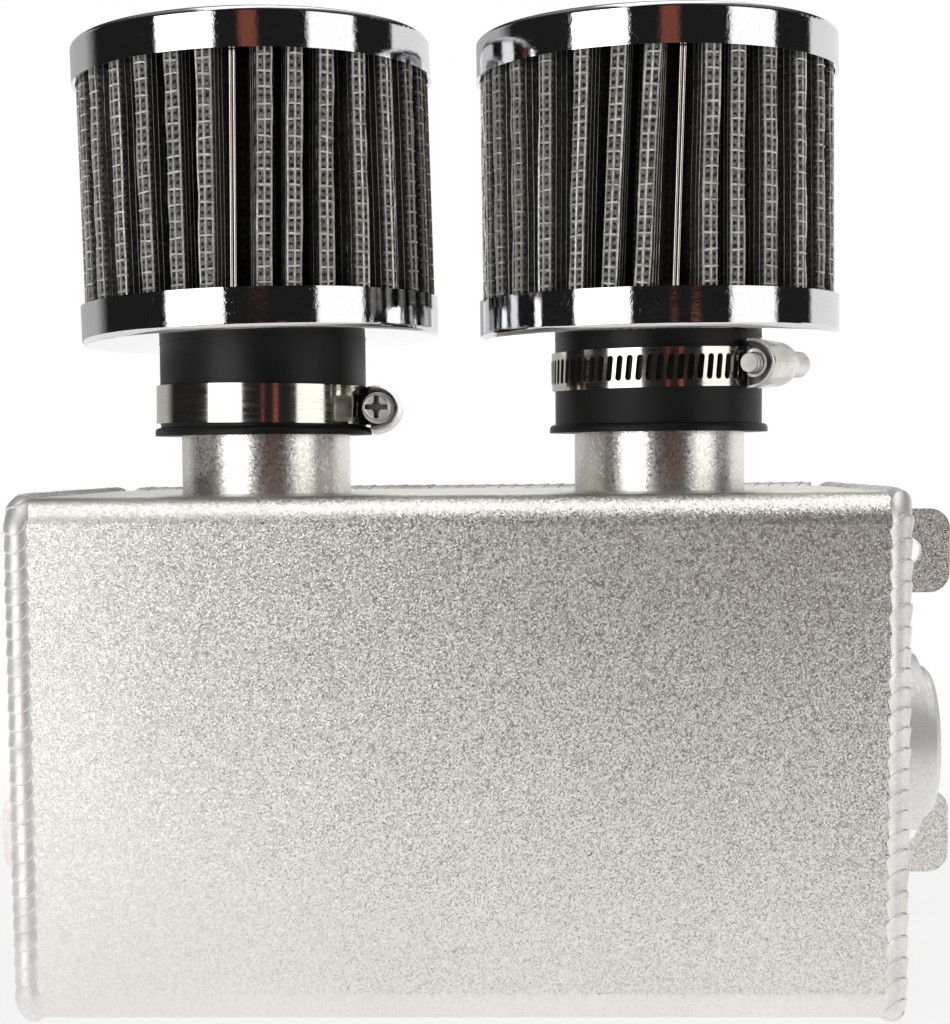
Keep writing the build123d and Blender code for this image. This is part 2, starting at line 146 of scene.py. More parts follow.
def buildStudio(s):
    world = bpy.data.worlds.new("studio")
    scene.world = world
    world.use_nodes = True
    tree = world.node_tree
    tree.nodes.clear()
    way = addNode(tree, "ShaderNodeTexCoord")
    axes = addNode(tree, "ShaderNodeSeparateXYZ", {0: way.outputs["Generated"]})
    front = work(tree, "MULTIPLY", axes.outputs["Y"], -1.0)
    turn = work(tree, "ARCTAN2", axes.outputs["X"], front)
    tilt = work(tree, "ARCTAN2", axes.outputs["Z"], front)
    rise = work(tree, "ARCSINE", axes.outputs["Z"])
    boxRise = between(tree, rise, *s["boxRise"], 2.0)
    boxes = work(tree, "MULTIPLY", between(tree, turn, *s["rightBox"], s["softEdge"]), boxRise)
    boxes = work(tree, "MULTIPLY", boxes, s["boxStrength"])
    slanted = work(tree, "SUBTRACT", tilt, work(tree, "MULTIPLY", axes.outputs["X"], s["overheadSlant"]))
    overhead = between(tree, slanted, *s["overhead"], 3.0)
    overheadRise = ease(tree, rise, *(math.radians(a) for a in s["overheadRise"]))
    sideways = ease(tree, work(tree, "ABSOLUTE", axes.outputs["X"]), *s["overheadHalf"], s["overheadStrength"], 0.0)
    overhead = work(tree, "MULTIPLY", work(tree, "MULTIPLY", overhead, overheadRise), sideways)
    left, right, leftSoft, rightSoft = (math.radians(a) for a in (*s["backdropFrom"], *s["backdropSoft"]))
    leftStrength, rightStrength = s["backdropStrength"]
    behindLeft = ease(tree, turn, left - leftSoft, left + leftSoft, leftStrength, 0.0)
    behindRight = ease(tree, turn, right - rightSoft, right + rightSoft, 0.0, rightStrength)
    straight = work(tree, "ABSOLUTE", turn)
    wall = ease(tree, straight, *(math.radians(a) for a in s["wallFrom"]), 0.0, s["wallStrength"])
    backdrop = work(tree, "MAXIMUM", work(tree, "ADD", behindLeft, behindRight), wall)
    backdropRise = ease(tree, rise, *(math.radians(a) for a in s["backdropRise"]), 1.0, 0.0)
    backdrop = work(tree, "MULTIPLY", backdrop, backdropRise)
    strength = work(tree, "MAXIMUM", work(tree, "MAXIMUM", boxes, overhead), backdrop)
    sky = ease(tree, rise, *(math.radians(a) for a in s["skyRise"]), s["roomStrength"], s["skyStrength"])
    strength = work(tree, "MAXIMUM", strength, sky)
    glow = 0.0
    for glowTurn, glowRise, brightness in s["glows"]:
        spot = work(tree, "MULTIPLY", between(tree, turn, *glowTurn, 0.7), between(tree, rise, *glowRise, 0.5))
        glow = work(tree, "MULTIPLY_ADD", spot, brightness, glow)
    light = addNode(tree, "ShaderNodeBackground", {"Color": (1.0, 0.995, 0.985, 1.0), "Strength": strength})
    warm = addNode(tree, "ShaderNodeBackground", {"Color": s["glowColour"], "Strength": glow})
    lit = addNode(tree, "ShaderNodeAddShader", {0: light.outputs[0], 1: warm.outputs[0]})
    white = addNode(tree, "ShaderNodeBackground", {"Color": (1.0, 1.0, 1.0, 1.0), "Strength": 1.0})
    cameraRay = addNode(tree, "ShaderNodeLightPath").outputs["Is Camera Ray"]
    seen = addNode(tree, "ShaderNodeMixShader", {0: cameraRay, 1: lit.outputs[0], 2: white.outputs[0]})
    addNode(tree, "ShaderNodeOutputWorld", {"Surface": seen.outputs[0]})


buildStudio(studio)

nearBox = {
    "nearEdge": (-0.322, -0.978),
    "farEdge": (-0.905, -0.650),
    "bottom": -0.1,
    "top": 0.47,
    "radiance": 2.55,
}


# softbox on the left, close enough that its place in the metal shifts across the part
def hangNearBox(s):
    near, far = Vector((*s["nearEdge"], 0)), Vector((*s["farEdge"], 0))
    middle = (near + far) / 2
    middle.z = (s["bottom"] + s["top"]) / 2
    across = (near - far).normalized()
    facing = across.cross(Vector((0, 0, 1)))
    if facing.dot(middle) > 0:
        facing = -facing
    data = bpy.data.lights.new("leftSoftbox", "AREA")
    data.shape = "RECTANGLE"
    data.size = (near - far).length
    data.size_y = s["top"] - s["bottom"]
    data.energy = s["radiance"] * math.pi * data.size * data.size_y
    lamp = bpy.data.objects.new("leftSoftbox", data)
    up = Vector((0, 0, 1))
    turned = Matrix((up.cross(-facing), up, -facing)).transposed()
    lamp.matrix_world = Matrix.Translation(middle) @ turned.to_4x4()
    lamp.visible_camera = False
    scene.collection.objects.link(lamp)


hangNearBox(nearBox)

floorLook = {
    "size": (3.0, 2.4),
    "frontEdge": -0.34,  # the table ends here, well in front of the part
    "shadowReach": (0.15, 0.40),  # the floor is plain white past this
    "nearWhite": 0.80,
    "colour": (0.94, 0.94, 0.935, 1.0),
}


def layFloor(s):
    material = bpy.data.materials.new("paleFloor")
    material.use_nodes = True
    tree = material.node_tree
    tree.nodes.clear()
    place = addNode(tree, "ShaderNodeTexCoord")
    away = addNode(tree, "ShaderNodeVectorMath", {0: place.outputs["Object"]}, operation="LENGTH")
    whiteness = ease(tree, away.outputs["Value"], *s["shadowReach"], s["nearWhite"], 1.0)
    paint = addNode(tree, "ShaderNodeBsdfDiffuse", {"Color": s["colour"]})
    white = addNode(tree, "ShaderNodeEmission", {"Color": (1.0, 1.0, 1.0, 1.0), "Strength": 1.0})
    surface = addNode(tree, "ShaderNodeMixShader", {0: whiteness, 1: paint.outputs[0], 2: white.outputs[0]})
    addNode(tree, "ShaderNodeOutputMaterial", {"Surface": surface.outputs[0]})
    bm = bmesh.new()
    bmesh.ops.create_grid(bm, x_segments=1, y_segments=1, size=0.5)
    bmesh.ops.scale(bm, verts=bm.verts, vec=(*s["size"], 1.0))
    bmesh.ops.translate(bm, verts=bm.verts, vec=(0, s["frontEdge"] + s["size"][1] / 2, 0))
    mesh = bpy.data.meshes.new("floor")
    bm.to_mesh(mesh)
    bm.free()
    mesh.materials.append(material)
    floor = bpy.data.objects.new("floor", mesh)
    scene.collection.objects.link(floor)


layFloor(floorLook)
print("studio and floor done")


def newFinish(name):
    material = bpy.data.materials.new(name)
    material.use_nodes = True
    tree = material.node_tree
    place = addNode(tree, "ShaderNodeTexCoord").outputs["Object"]
    return material, tree, tree.nodes["Principled BSDF"], place


def grain(tree, place, scale, detail=2.0, rough=0.55):
    inputs = {"Vector": place, "Scale": scale, "Detail": detail, "Roughness": rough}
    return addNode(tree, "ShaderNodeTexNoise", inputs).outputs["Fac"]


def stretch(tree, place, scale):
    return addNode(tree, "ShaderNodeMapping", {"Vector": place, "Scale": scale}).outputs["Vector"]


def shades(tree, value, *stops):
    ramp = addNode(tree, "ShaderNodeValToRGB", {"Fac": value})
    points = ramp.color_ramp.elements
    while len(points) < len(stops):
        points.new(0.5)
    for point, (position, colour) in zip(points, stops):
        point.position = position
        point.color = (*colour, 1.0)
    return ramp.outputs["Color"]


def tinted(tree, colour, tint):
    mix = addNode(tree, "ShaderNodeMix", data_type="RGBA", blend_type="MULTIPLY")
    mix.inputs[0].default_value = 1.0
    tree.links.new(colour, mix.inputs[6])
    tree.links.new(tint, mix.inputs[7])
    return mix.outputs[2]


def bump(tree, height, strength, distance):
    inputs = {"Height": height, "Strength": strength, "Distance": distance}
    return addNode(tree, "ShaderNodeBump", inputs).outputs["Normal"]


blastedLook = {
    "facetScale": 4000,
    "tilt": (0.13, 0.29),  # at the left of the tank and from its middle on
    "tiltFrom": (-80 * mm, 5 * mm),
    "grainScale": 1500,
    "cloudScale": 22,
    "smooth": 0.31,
    "rough": 0.45,
}
tubeLook = {**blastedLook, "tilt": (0.10, 0.10), "smooth": 0.24, "rough": 0.33}


# metal pitted by shot, as tiny facets that each lean their own way
def blastedAluminium(name, s):
    material, tree, shader, place = newFinish(name)
    facet = addNode(tree, "ShaderNodeTexVoronoi", {"Vector": place, "Scale": s["facetScale"]}).outputs["Color"]
    lean = workVector(tree, "SUBTRACT", facet, (0.5, 0.5, 0.5))[0]
    across = addNode(tree, "ShaderNodeSeparateXYZ", {0: place}).outputs["X"]
    tilt = ease(tree, across, *s["tiltFrom"], *s["tilt"])
    lean = workVector(tree, "MULTIPLY", lean, tilt)[0]
    normal = addNode(tree, "ShaderNodeNewGeometry").outputs["Normal"]
    normal = workVector(tree, "NORMALIZE", workVector(tree, "ADD", normal, lean)[0])[0]
    fine = grain(tree, place, s["grainScale"])
    colour = shades(tree, fine, (0.3, (0.85, 0.828, 0.79)), (0.7, (0.93, 0.908, 0.868)))
    cloud = shades(tree, grain(tree, place, s["cloudScale"], 3.0), (0.3, (0.95, 0.94, 0.94)), (0.7, (1.0, 1.0, 1.0)))
    tree.links.new(tinted(tree, colour, cloud), shader.inputs["Base Color"])
    tree.links.new(ease(tree, fine, 0.3, 0.7, s["rough"], s["smooth"]), shader.inputs["Roughness"])
    tree.links.new(normal, shader.inputs["Normal"])
    shader.inputs["Metallic"].default_value = 1.0
    return material


beadLook = {"frostScale": 1500, "stainScale": 120, "bump": 0.3, "depth": 0.03 * mm, "smooth": 0.40, "rough": 0.54}


def weldedAluminium(s):
    material, tree, shader, place = newFinish("weldedAluminium")
    frost = grain(tree, place, s["frostScale"])
    stain = grain(tree, place, s["stainScale"], 3.0)
    dull, plain, bright = (0.80, 0.785, 0.77), (0.89, 0.875, 0.86), (0.94, 0.93, 0.915)
    colour = shades(tree, frost, (0.28, dull), (0.55, plain), (0.75, bright))
    soot = shades(tree, stain, (0.30, (0.86, 0.85, 0.84)), (0.46, (1.0, 1.0, 1.0)))
    tree.links.new(tinted(tree, colour, soot), shader.inputs["Base Color"])
    tree.links.new(ease(tree, stain, 0.3, 0.7, s["rough"], s["smooth"]), shader.inputs["Roughness"])
    tree.links.new(bump(tree, frost, s["bump"], s["depth"]), shader.inputs["Normal"])
    shader.inputs["Metallic"].default_value = 0.75
    return material


rolledLook = {
    "lines": (30, 2600, 2600),
    "grainScale": 1500,
    "bump": 0.25,
    "depth": 0.03 * mm,
    "smooth": 0.26,
    "rough": 0.38,
}


def rolledAluminium(s):
    material, tree, shader, place = newFinish("rolledAluminium")
    lines = grain(tree, stretch(tree, place, s["lines"]), 1.0, 3.0)
    frost = grain(tree, place, s["grainScale"])
    dull, plain, bright = (0.72, 0.71, 0.71), (0.84, 0.835, 0.83), (0.93, 0.93, 0.925)
    colour = shades(tree, frost, (0.28, dull), (0.52, plain), (0.74, bright))
    streak = shades(tree, lines, (0.3, (0.90, 0.90, 0.90)), (0.7, (1.0, 1.0, 1.0)))
    tree.links.new(tinted(tree, colour, streak), shader.inputs["Base Color"])
    tree.links.new(ease(tree, lines, 0.3, 0.7, s["rough"], s["smooth"]), shader.inputs["Roughness"])
    tree.links.new(bump(tree, frost, s["bump"], s["depth"]), shader.inputs["Normal"])
    shader.inputs["Metallic"].default_value = 1.0
    return material


turnedLook = {
    "centre": (0.0, 1.0 * mm, -48.6 * mm),
    "ringScale": 760,
    "frostScale": 1800,
    "bump": 0.25,
    "depth": 0.02 * mm,
    "smooth": 0.46,
    "rough": 0.62,
}


def turnedAluminium(s):
    material, tree, shader, place = newFinish("turnedAluminium")
    centred = addNode(tree, "ShaderNodeMapping", {"Vector": place, "Location": s["centre"]}).outputs["Vector"]
    inputs = {"Vector": centred, "Scale": s["ringScale"], "Distortion": 0.6, "Detail": 1.0}
    wave = addNode(tree, "ShaderNodeTexWave", inputs, wave_type="RINGS", rings_direction="X")
    rings = wave.outputs["Fac"]
    frost = grain(tree, place, s["frostScale"])
    colour = shades(tree, frost, (0.3, (0.84, 0.83, 0.82)), (0.7, (0.96, 0.955, 0.945)))
    tree.links.new(colour, shader.inputs["Base Color"])
    tree.links.new(ease(tree, frost, 0.3, 0.7, s["rough"], s["smooth"]), shader.inputs["Roughness"])
    tree.links.new(bump(tree, rings, s["bump"], s["depth"]), shader.inputs["Normal"])
    shader.inputs["Metallic"].default_value = 0.7
    return material


chromeLook = {
    "peelScale": 800,
    "bump": 0.9,
    "depth": 0.02 * mm,
    "speckScale": 2600,
    "clear": 0.025,
    "specked": 0.22,
    "capAt": 42.8 * mm,  # how far each cap stands to its side
    "hollow": 3.4,  # lean of a cap's top toward its middle, per metre
    "levelFrom": (0.97, 0.995),  # upward part of a normal at which a face counts as a top
}


# normals that lean toward the middle of a level top, which mirrors like a sheet pressed slightly hollow
def hollowTop(tree, place, s):
    normal = addNode(tree, "ShaderNodeNewGeometry").outputs["Normal"]
    upward = addNode(tree, "ShaderNodeSeparateXYZ", {0: normal}).outputs["Z"]
    level = ease(tree, upward, *s["levelFrom"], 0.0, -s["hollow"])
    spot = addNode(tree, "ShaderNodeSeparateXYZ", {0: place}).outputs
    across = work(tree, "MULTIPLY_ADD", work(tree, "SIGN", spot["X"]), -s["capAt"], spot["X"])
    off = addNode(tree, "ShaderNodeCombineXYZ", {"X": across, "Y": spot["Y"]}).outputs[0]
    lean = workVector(tree, "MULTIPLY", off, level)[0]
    return workVector(tree, "NORMALIZE", workVector(tree, "ADD", normal, lean)[0])[0]


def platedChrome(s):
    material, tree, shader, place = newFinish("platedChrome")
    peel = grain(tree, place, s["peelScale"], 4.0, 0.7)
    specks = grain(tree, place, s["speckScale"], 1.0)
    bright, plain, dull = (0.73, 0.73, 0.745), (0.70, 0.70, 0.715), (0.66, 0.66, 0.675)
    colour = shades(tree, specks, (0.30, bright), (0.66, plain), (0.74, dull))
    tree.links.new(colour, shader.inputs["Base Color"])
    tree.links.new(ease(tree, specks, 0.66, 0.76, s["clear"], s["specked"]), shader.inputs["Roughness"])
    peeled = addNode(tree, "ShaderNodeBump", {"Height": peel, "Strength": s["bump"], "Distance": s["depth"]})
    tree.links.new(hollowTop(tree, place, s), peeled.inputs["Normal"])
    tree.links.new(peeled.outputs["Normal"], shader.inputs["Normal"])
    shader.inputs["Metallic"].default_value = 1.0
    return material


clampLook = {
    "lines": (140, 140, 5200),
    "peelScale": 420,
    "bump": 0.3,
    "depth": 0.02 * mm,
    "smooth": 0.07,
    "rough": 0.16,
}


def polishedSteel(s):
    material, tree, shader, place = newFinish("polishedSteel")
    lines = grain(tree, stretch(tree, place, s["lines"]), 1.0, 2.0)
    peel = grain(tree, place, s["peelScale"])
    colour = shades(tree, lines, (0.3, (0.68, 0.655, 0.585)), (0.7, (0.79, 0.765, 0.69)))
    tree.links.new(colour, shader.inputs["Base Color"])
    tree.links.new(ease(tree, lines, 0.3, 0.7, s["rough"], s["smooth"]), shader.inputs["Roughness"])
    tree.links.new(bump(tree, peel, s["bump"], s["depth"]), shader.inputs["Normal"])
    shader.inputs["Metallic"].default_value = 1.0
    return material


nickelLook = {
    "frostScale": 1400,
    "dustScale": 160,
    "bump": 0.25,
    "depth": 0.02 * mm,
    "smooth": 0.20,
    "rough": 0.34,
    "dull": (0.62, 0.585, 0.555),
    "bright": (0.79, 0.76, 0.73),
    "hollow": (-7.9 * mm, 2.9 * mm),  # faces across the screw between these are inside the housing
    # painted shade: share of colour kept on faces inside the housing
    "shade": 0.16,
}
zincLook = {
    **nickelLook,
    "smooth": 0.40,
    "rough": 0.56,
    "dull": (0.74, 0.71, 0.68),
    "bright": (0.90, 0.875, 0.85),
    # painted shade in the screw head's recess, within hollowRadius of the axis between these
    "hollow": (-16.05 * mm, -14.6 * mm),
    "hollowRadius": 2.45 * mm,
    "shade": 0.22,
}
clampJoints = {joint["child"].split("_")[0]: joint for joint in frame["record"]["behaviour"]["joints"]}


def satinPlating(name, joint, s):
    material, tree, shader, place = newFinish(name)
    frost = grain(tree, place, s["frostScale"])
    dust = grain(tree, place, s["dustScale"], 3.0)
    axis = tuple(Vector(joint["axis"]).normalized())
    off = workVector(tree, "SUBTRACT", place, tuple(joint["pos_m"]))[0]
    along = workVector(tree, "DOT_PRODUCT", off, axis)["Value"]
    if "hollowRadius" in s:
        away = workVector(tree, "LENGTH", workVector(tree, "CROSS_PRODUCT", off, axis)[0])["Value"]
        inside = work(tree, "LESS_THAN", away, s["hollowRadius"])
    else:
        normal = addNode(tree, "ShaderNodeNewGeometry").outputs["Normal"]
        inside = work(tree, "ABSOLUTE", workVector(tree, "DOT_PRODUCT", normal, axis)["Value"])
        inside = work(tree, "GREATER_THAN", inside, 0.8)
    # painted shade: the colour is darkened on the faces inside the housing and in the screw head's recess
    low, high = s["hollow"]
    inside = work(tree, "MULTIPLY", inside, work(tree, "GREATER_THAN", along, low))
    inside = work(tree, "MULTIPLY", inside, work(tree, "LESS_THAN", along, high))
    colour = shades(tree, dust, (0.3, s["dull"]), (0.7, s["bright"]))
    shade = shades(tree, inside, (0.0, (1.0, 1.0, 1.0)), (1.0, (s["shade"],) * 3))
    tree.links.new(tinted(tree, colour, shade), shader.inputs["Base Color"])
    tree.links.new(ease(tree, dust, 0.3, 0.7, s["rough"], s["smooth"]), shader.inputs["Roughness"])
    tree.links.new(bump(tree, frost, s["bump"], s["depth"]), shader.inputs["Normal"])
    shader.inputs["Metallic"].default_value = 1.0
    return material


rubberLook = {"skinScale": 900, "dustScale": 55, "bump": 0.25, "depth": 0.03 * mm, "smooth": 0.36, "rough": 0.52}


def blackRubber(s):
    material, tree, shader, place = newFinish("blackRubber")
    skin = grain(tree, place, s["skinScale"])
    dust = grain(tree, place, s["dustScale"], 4.0)
    colour = shades(tree, dust, (0.35, (0.006, 0.006, 0.006)), (0.75, (0.014, 0.0135, 0.013)))
    tree.links.new(colour, shader.inputs["Base Color"])
    tree.links.new(ease(tree, dust, 0.3, 0.7, s["smooth"], s["rough"]), shader.inputs["Roughness"])
    tree.links.new(bump(tree, skin, s["bump"], s["depth"]), shader.inputs["Normal"])
    shader.inputs["Specular IOR Level"].default_value = 0.28
    return material


gauzeLook = {
    "holePitch": (1.45 * mm, 1.5 * mm),
    "dark": (0.012, 0.011, 0.010),
    "pale": (0.27, 0.265, 0.24),
    "fuzzScale": 1100,
    # painted shade: the colour falls to 0.22 of itself between these distances along a pleat from its crest
    "paintedShadeDepths": (1.3 * mm, 2.6 * mm),
}


# fine gauze whose holes follow the folds, from the sheet's own measure along each pleat, with painted shade deep in
# the folds
def filterGauze(s):
    material, tree, shader, place = newFinish("filterGauze")
    along = addNode(tree, "ShaderNodeAttribute", attribute_name="alongPleat").outputs["Fac"]
    up = addNode(tree, "ShaderNodeSeparateXYZ", {0: place}).outputs["Z"]
    fuzz = grain(tree, place, s["fuzzScale"], 3.0, 0.65)
    bend = work(tree, "MULTIPLY", work(tree, "SUBTRACT", fuzz, 0.5), 0.7)
    hole = None
    for measure, pitch in zip((along, up), s["holePitch"]):
        turns = work(tree, "ADD", work(tree, "DIVIDE", measure, pitch), bend)
        middle = ease(tree, work(tree, "PINGPONG", turns, 0.5), 0.20, 0.40)
        hole = middle if hole is None else work(tree, "MULTIPLY", hole, middle)
    threads = work(tree, "SUBTRACT", 1.0, hole)
    lit = work(tree, "MULTIPLY", threads, ease(tree, fuzz, 0.32, 0.66, 0.30, 1.0))
    # painted shade: the colour darkens the deeper a point lies in a fold, away from its crest
    depth = work(tree, "ABSOLUTE", along)
    lit = work(tree, "MULTIPLY", lit, ease(tree, depth, *s["paintedShadeDepths"], 1.0, 0.22))
    tree.links.new(shades(tree, lit, (0.1, s["dark"]), (0.9, s["pale"])), shader.inputs["Base Color"])
    tree.links.new(bump(tree, threads, 0.8, 0.15 * mm), shader.inputs["Normal"])
    shader.inputs["Roughness"].default_value = 0.62
    shader.inputs["Specular IOR Level"].default_value = 0.3
    return material


wireLook = {
    "wearScale": 900,
    "dull": (0.46, 0.455, 0.425),
    "bright": (0.88, 0.87, 0.83),
    "smooth": 0.32,
    "rough": 0.5,
}


def meshWire(s):
    material, tree, shader, place = newFinish("meshWire")
    wear = grain(tree, place, s["wearScale"], 3.0)
    tree.links.new(shades(tree, wear, (0.32, s["dull"]), (0.62, s["bright"])), shader.inputs["Base Color"])
    tree.links.new(ease(tree, wear, 0.3, 0.7, s["rough"], s["smooth"]), shader.inputs["Roughness"])
    shader.inputs["Metallic"].default_value = 0.35
    return material


finishes = {
    "blasted": blastedAluminium("blastedAluminium", blastedLook),
    "tube": blastedAluminium("satinTube", tubeLook),
    "welded": weldedAluminium(beadLook),
    "rolled": rolledAluminium(rolledLook),
    "turned": turnedAluminium(turnedLook),
    "chrome": platedChrome(chromeLook),
    "steel": polishedSteel(clampLook),
    "leftNickel": satinPlating("leftSatinNickel", clampJoints["left"], nickelLook),
    "rightNickel": satinPlating("rightSatinNickel", clampJoints["right"], nickelLook),
    "leftZinc": satinPlating("leftSatinZinc", clampJoints["left"], zincLook),
    "rightZinc": satinPlating("rightSatinZinc", clampJoints["right"], zincLook),
    "rubber": blackRubber(rubberLook),
    "gauze": filterGauze(gauzeLook),
    "wire": meshWire(wireLook),
}

# which finish each kind of CAD node wears, by the end of its name
nodeFinishes = {
    "tank_shell": "blasted",
    "end_plate": "blasted",
    "rear_plate": "blasted",
    "neck_tube": "tube",
    "baffle_plate": "rolled",
    "tab": "blasted",
    "port_bung": "turned",
    "weld": "welded",
    "welds": "welded",
    "filter_base": "chrome",
    "filter_cap": "chrome",
    "filter_neck": "rubber",
    "cap_pad": "rubber",
    "filter_media": "gauze",
    "seam_clip": "steel",
    "clamp_band": "steel",
    "left_clamp_housing": "leftNickel",
    "right_clamp_housing": "rightNickel",
    "left_clamp_screw": "leftZinc",
    "right_clamp_screw": "rightZinc",
}


def dressNodes():
    for name, node in cadNodes.items():
        ending = next(end for end in nodeFinishes if name.endswith(end))
        for slot in node.material_slots:
            slot.material = finishes[nodeFinishes[ending]]


dressNodes()
print("finishes made:", len(finishes))


def keepPiece(bm, name, body, finish, replaced=(), sharpAngle=45):
    mesh = bpy.data.meshes.new(name)
    bm.to_mesh(mesh)
    bm.free()
    mesh.materials.append(finishes[finish])
    mesh.shade_smooth()
    mesh.set_sharp_from_angle(angle=math.radians(sharpAngle))
    piece = bpy.data.objects.new(name, mesh)
    scene.collection.objects.link(piece)
    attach(piece, body)
    if replaced:
        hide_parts(*replaced)
    return piece


def closeSkin(bm):
    bmesh.ops.remove_doubles(bm, verts=bm.verts, dist=0.001 * mm)
    openEdges = [edge for edge in bm.edges if edge.is_boundary]
    if openEdges:
        bmesh.ops.holes_fill(bm, edges=openEdges)
    bmesh.ops.recalc_face_normals(bm, faces=bm.faces)


# evenly spaced (place, outward way, distance) along straight runs joined by round turns;
# outward is to the left of the way the runs go
def seamStations(pivots, radius, step, closed, toSpace):
    pivots = [Vector(p) for p in pivots]
    runs = []
    count = len(pivots)
    for i in range(count if closed else count - 1):
        start, end = pivots[i], pivots[(i + 1) % count]
        way = (end - start).normalized()
        runs.append((start, way, (end - start).length, Vector((-way.y, way.x))))
    parts = []
    for i, (start, way, length, out) in enumerate(runs):
        parts.append((length, start, way, out, out))
        if closed or i < len(runs) - 1:
            nextOut = runs[(i + 1) % len(runs)][3]
            parts.append((max(radius, 1.2 * mm) * math.pi / 2, start + way * length, Vector((0, 0)), out, nextOut))
    total = sum(part[0] for part in parts)
    steps = round(total / step)
    stations = []
    for i in range(steps + 1):
        left = total * i / steps
        for length, start, way, out, nextOut in parts:
            if left <= length + 1e-9:
                break
            left -= length
        share = left / length * math.pi / 2
        facing = out * math.cos(share) + nextOut * math.sin(share) if out != nextOut else out
        flat = start + way * left + facing * radius
        origin = toSpace(0.0, 0.0)
        stations.append((toSpace(flat.x, flat.y), toSpace(facing.x, facing.y) - origin, total * i / steps))
    return stations, total


# how high a scale stands along its length: it rises slowly, then drops at its lip
scaleProfile = ((0.0, 0.0), (0.10, 0.06), (0.35, 0.30), (0.65, 0.68), (0.86, 0.95), (0.94, 1.0), (0.975, 0.82))


# a bead of overlapping scales along its stations, closed underneath, with its rows bent to the scales
def rollBead(name, stations, total, away, look, replaced=()):
    steps = look["sectionSteps"]
    spans = len(stations) - 1
    ripples = max(1, round(total / look["pitch"]))
    low, high = (math.radians(a) for a in look["section"])
    way = 1 if look["crescent"] > 0 else -1
    profile = sorted(((way * part) % 1.0, height) for part, height in scaleProfile)
    rows = [(number + part, height) for number in range(ripples) for part, height in profile] + [(ripples, 0.0)]
    bm = bmesh.new()
    bmesh.ops.create_grid(bm, x_segments=len(rows) - 1, y_segments=steps, size=1.0)
    for vert in bm.verts:
        turn, height = rows[round((vert.co.x + 1) / 2 * (len(rows) - 1))]
        number = round((vert.co.y + 1) / 2 * steps) % steps
        across = 2 * number / (steps - 1) - 1
        bow = across - look["apex"]
        bow = (bow / (1 + look["apex"] if bow < 0 else 1 - look["apex"])) ** 2
        ring = 2 * math.pi * turn / ripples
        drift = look["drift"] * (math.sin(5 * ring + look["seed"]) + 0.6 * math.sin(13 * ring + 2 * look["seed"]))
        along = total * turn / ripples + drift + look["crescent"] * (1 - bow)
        index = round(along / total * spans)
        index = index % spans if look["closed"] else min(max(index, 0), spans)
        place, out, reach = stations[index]
        loose = noise.noise(Vector((math.floor(turn) * 3.7, look["seed"], 0.5)))
        swell = 0.5 + 0.5 * noise.noise(Vector((reach / (9 * mm), look["seed"], 3.3)))
        radius = look["radius"] - look["dip"] * (1 - height * (0.8 + 0.4 * loose)) - look["swell"] * swell
        angle = low + (high - low) * number / (steps - 1)
        vert.co = place + (out * math.cos(angle) + away * math.sin(angle)) * radius + away * look["flare"] * place.z
    closeSkin(bm)
    return keepPiece(bm, name, "can", "welded", replaced, 50)


endBead = {
    "low": (-51 * mm, 1 * mm),  # the tank's outline across and up
    "high": (49 * mm, 103 * mm),
    "end": 85.5 * mm,
    "corner": 6.0 * mm,
    "proud": 1.0 * mm,
    "section": (-55, 145),
    "sectionSteps": 17,
    "step": 0.1 * mm,
    "swell": 0.06 * mm,
    "drift": 0.45 * mm,
    "closed": True,
}
endBeadSides = {
    "left": {
        "way": -1,
        "radius": 3.25 * mm,
        "pitch": 3.5 * mm,
        "crescent": -2.9 * mm,
        "apex": -0.3,
        "dip": 0.40 * mm,
        "flare": 0.002,  # how far it stands out at the top, per height
        "seed": 1.7,
    },
    "right": {
        "way": 1,
        "radius": 2.85 * mm,
        "pitch": 4.0 * mm,
        "crescent": 2.7 * mm,
        "apex": -0.15,
        "dip": 0.48 * mm,
        "flare": 0.006,
        "seed": 4.2,
    },
}
seamFill = {"outer": 4.56 * mm, "inner": 2.9 * mm, "proud": 0.012 * mm, "step": 0.5 * mm}


# sheet metal made up to the bead's edge along both sides of a seam
def addSeamFill(side, stations, away, s):
    outer, inner, proud = s["outer"], s["inner"], s["proud"]
    outline = [(proud, -outer), (proud, -inner), (-inner, proud), (-outer, proud)]
    spans = len(stations) - 1
    bm = bmesh.new()
    bmesh.ops.create_grid(bm, x_segments=spans, y_segments=len(outline), size=1.0)
    for vert in bm.verts:
        place, out, _ = stations[round((vert.co.x + 1) / 2 * spans)]
        level, reach = outline[round((vert.co.y + 1) / 2 * len(outline)) % len(outline)]
        vert.co = place + out * level + away * reach
    closeSkin(bm)
    keepPiece(bm, side + "SeamFill", "can", "blasted", (), 40)


def addEndBeads(s):
    (front, bottom), (rear, top) = s["low"], s["high"]
    edge = s["corner"]
    pivots = [
        (rear - edge, bottom + edge),
        (front + edge, bottom + edge),
        (front + edge, top - edge),
        (rear - edge, top - edge),
    ]
    for side, own in endBeadSides.items():
        inset = own["radius"] - s["proud"]
        x = own["way"] * (s["end"] - inset)
        stations, total = seamStations(pivots, s["corner"] - inset, s["step"], True, lambda a, b: Vector((x, a, b)))
        away = Vector((own["way"], 0, 0))
        rollBead(side + "EndBead", stations, total, away, {**s, **own}, (side + "_end_weld",))
        rim = own["way"] * s["end"]
        edges, _ = seamStations(pivots, s["corner"], seamFill["step"], True, lambda a, b: Vector((rim, a, b)))
        addSeamFill(side, edges, away, seamFill)


addEndBeads(endBead)

rearBead = {
    "inset": 1.6 * mm,
    "half": 81 * mm,
    "rear": 49 * mm,
    "levels": {"top": 103 * mm, "bottom": 1 * mm},
    "radius": 2.6 * mm,
    "section": (-55, 145),
    "sectionSteps": 13,
    "step": 0.1 * mm,
    "pitch": 3.4 * mm,
    "crescent": 2.2 * mm,
    "apex": 0.0,
    "dip": 0.26 * mm,
    "swell": 0.10 * mm,
    "drift": 0.4 * mm,
    "closed": False,
    "flare": 0.0,
}


